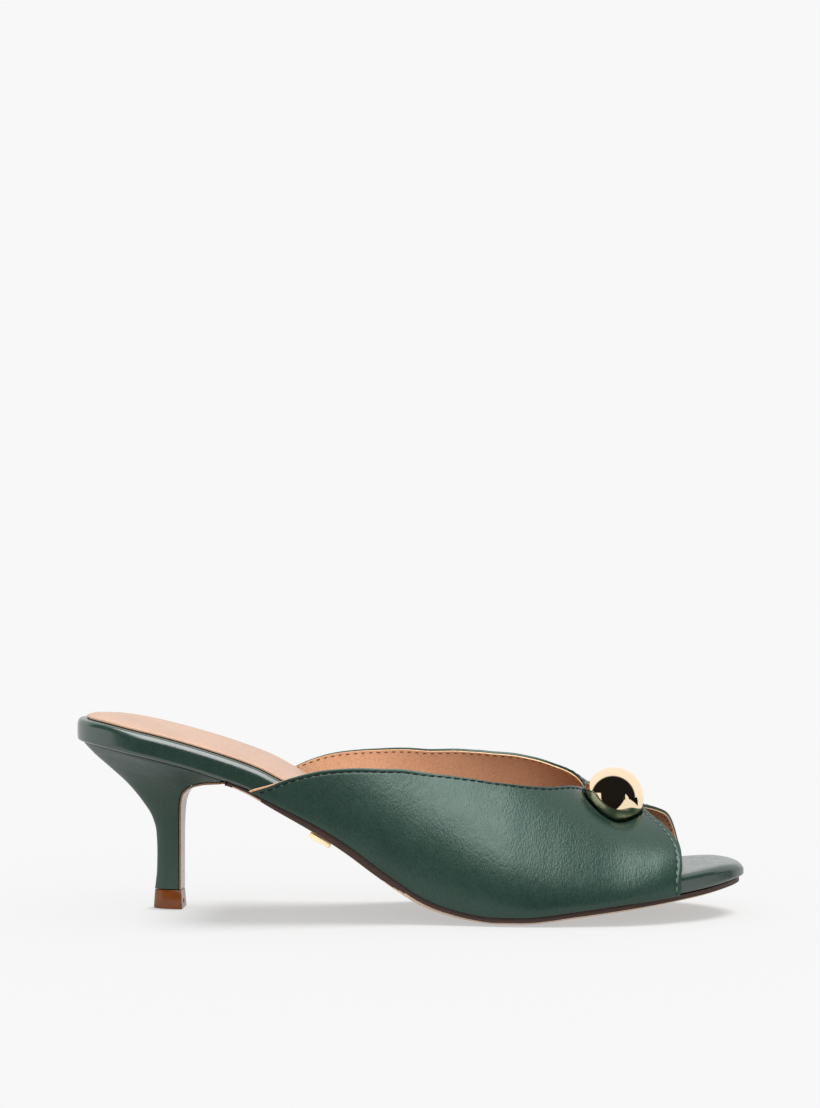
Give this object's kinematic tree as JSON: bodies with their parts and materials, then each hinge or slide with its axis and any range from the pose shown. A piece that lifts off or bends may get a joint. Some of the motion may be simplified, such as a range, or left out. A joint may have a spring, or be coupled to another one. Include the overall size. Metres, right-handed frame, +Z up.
{
  "type": "stiletto heel sandal",
  "caption": "Right peep-toe mule sandal on a slim 60 mm heel, with one closed leather band, a V-shaped collar and a ball ornament.",
  "frame": {"origin": "middle of the shoe's bounding box, on the floor that it stands on", "axes": "+X from heel to toe, -Y the lateral (outer) side of the foot, +Z up from the floor"},
  "size_m": [0.238, 0.0746, 0.0696],
  "materials": {
    "green_leather": "smooth, softly glossy",
    "tan_leather": "smooth, satin",
    "sole_leather": "satin, painted edge",
    "flap_leather": "glossy, pale",
    "amber_resin": "glossy",
    "gold": "mirror polished"
  },
  "bodies": {
    "root": {"outsole": "sole_leather", "breast_flap": "flap_leather", "heel": "green_leather", "top_piece": "amber_resin", "footbed": "green_leather", "sock": "tan_leather", "upper": "green_leather", "ball": "gold", "sole_plate": "gold"}
  },
  "joints": []
}
